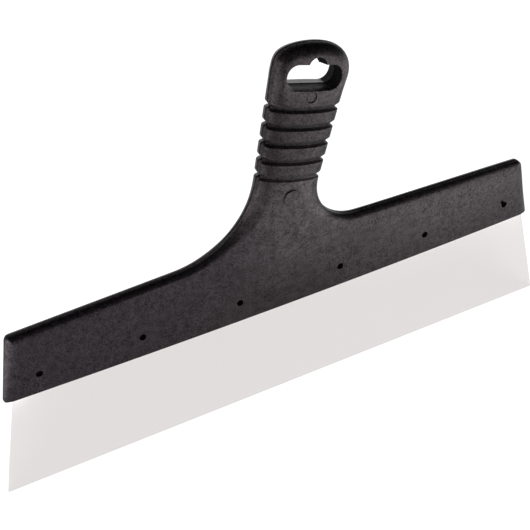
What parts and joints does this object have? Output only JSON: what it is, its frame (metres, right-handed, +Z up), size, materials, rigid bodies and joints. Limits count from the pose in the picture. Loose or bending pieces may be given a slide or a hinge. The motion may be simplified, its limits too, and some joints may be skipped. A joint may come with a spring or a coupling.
{
  "type": "floor scraper",
  "caption": "Wide hand scraper for floor work: a tapered stainless blade moulded into a plastic holder with a leaning ribbed grip and a hanging hole.",
  "frame": {"origin": "middle of the scraping edge, at the bottom of the blade and halfway through its thickness", "axes": "+X along the scraping edge, towards the side that the handle leans to; +Y through the blade's thickness, from the front face to the back; +Z up the blade towards the handle"},
  "size_m": [0.3496, 0.016, 0.2168],
  "materials": {
    "blade_steel": "satin",
    "handle_plastic": "satin"
  },
  "bodies": {
    "root": {"blade": "blade_steel", "handle": "handle_plastic"}
  },
  "joints": []
}
